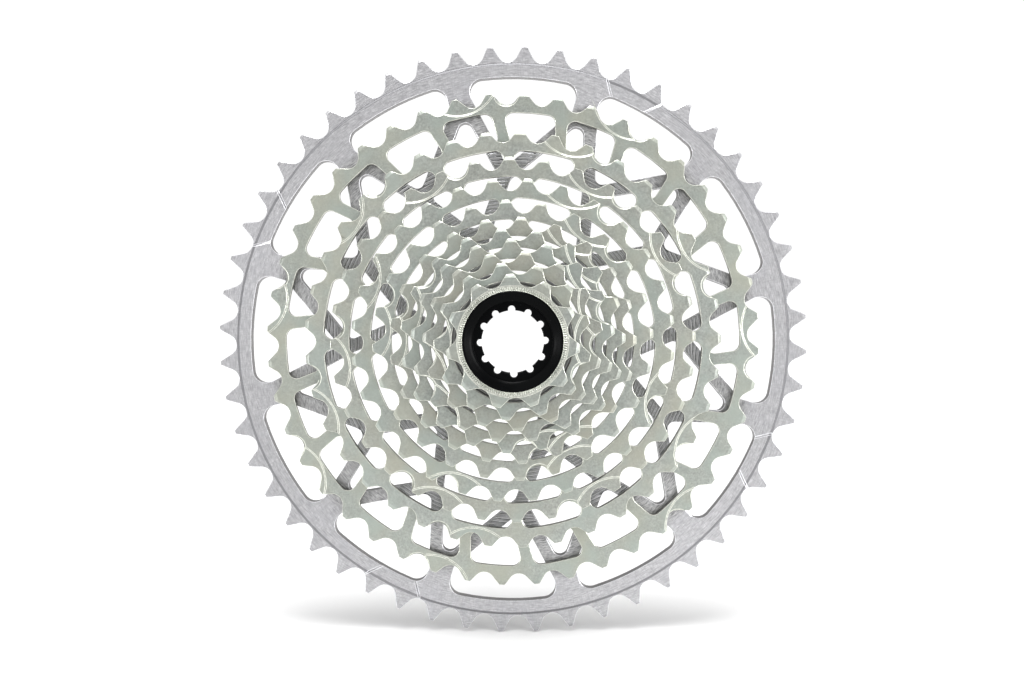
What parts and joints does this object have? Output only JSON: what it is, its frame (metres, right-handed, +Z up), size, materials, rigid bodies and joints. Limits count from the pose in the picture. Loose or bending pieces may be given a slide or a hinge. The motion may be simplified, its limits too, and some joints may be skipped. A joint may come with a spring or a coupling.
{
  "type": "bicycle cassette sprocket",
  "caption": "Wide-range bicycle rear cassette: stacked steel sprockets on an aluminium largest sprocket with slanted arms, a loose end sprocket and a black lockring.",
  "frame": {"origin": "centre of the plain bore at the back of the aluminium carrier, on the wheel's axle", "axes": "+Y along the axle from the small end to the large end, towards the spokes; +Z up; -Y is the outer, small end"},
  "size_m": [0.2148, 0.0455, 0.2148],
  "materials": {
    "sprocket_steel": "satin",
    "carrier_alloy": "turned and brushed",
    "lockring_black": "gloss black",
    "washer_steel": "satin",
    "pin_steel": "satin"
  },
  "bodies": {
    "cluster": {"carrier_52t": "carrier_alloy", "sprocket_44t": "sprocket_steel", "sprocket_37t": "sprocket_steel", "sprocket_32t": "sprocket_steel", "sprocket_28t": "sprocket_steel", "sprocket_24t": "sprocket_steel", "sprocket_21t": "sprocket_steel", "sprocket_19t": "sprocket_steel", "sprocket_17t": "sprocket_steel", "sprocket_15t": "sprocket_steel", "sprocket_13t": "sprocket_steel", "pins_52_44": "pin_steel", "pins_44_37": "pin_steel", "pins_37_32": "pin_steel", "pins_32_28": "pin_steel", "pins_28_24": "pin_steel", "pins_24_21": "pin_steel", "pins_21_19": "pin_steel", "pins_19_17": "pin_steel", "pins_17_15": "pin_steel", "pins_15_13": "pin_steel"},
    "end_sprocket": {"sprocket_11t": "sprocket_steel"},
    "washer": {"lockring_washer": "washer_steel"},
    "lockring": {"lockring": "lockring_black"}
  },
  "joints": [
    {"name": "end_sprocket_slide", "type": "slide", "parent": "cluster", "child": "end_sprocket", "axis": [0, -1, 0], "range_m": [0, 0.012]},
    {"name": "lockring_travel", "type": "slide", "parent": "end_sprocket", "child": "washer", "axis": [0, -1, 0], "range_m": [0, 0.00531]},
    {"name": "lockring_turn", "type": "hinge", "parent": "washer", "child": "lockring", "pos_m": [0, -0.0358, 0], "axis": [0, -1, 0], "range_deg": [0, 1800]}
  ],
  "couplings": [
    {"joint": "lockring_travel", "follows": "lockring_turn", "m_per_rad": 0.0001687}
  ]
}
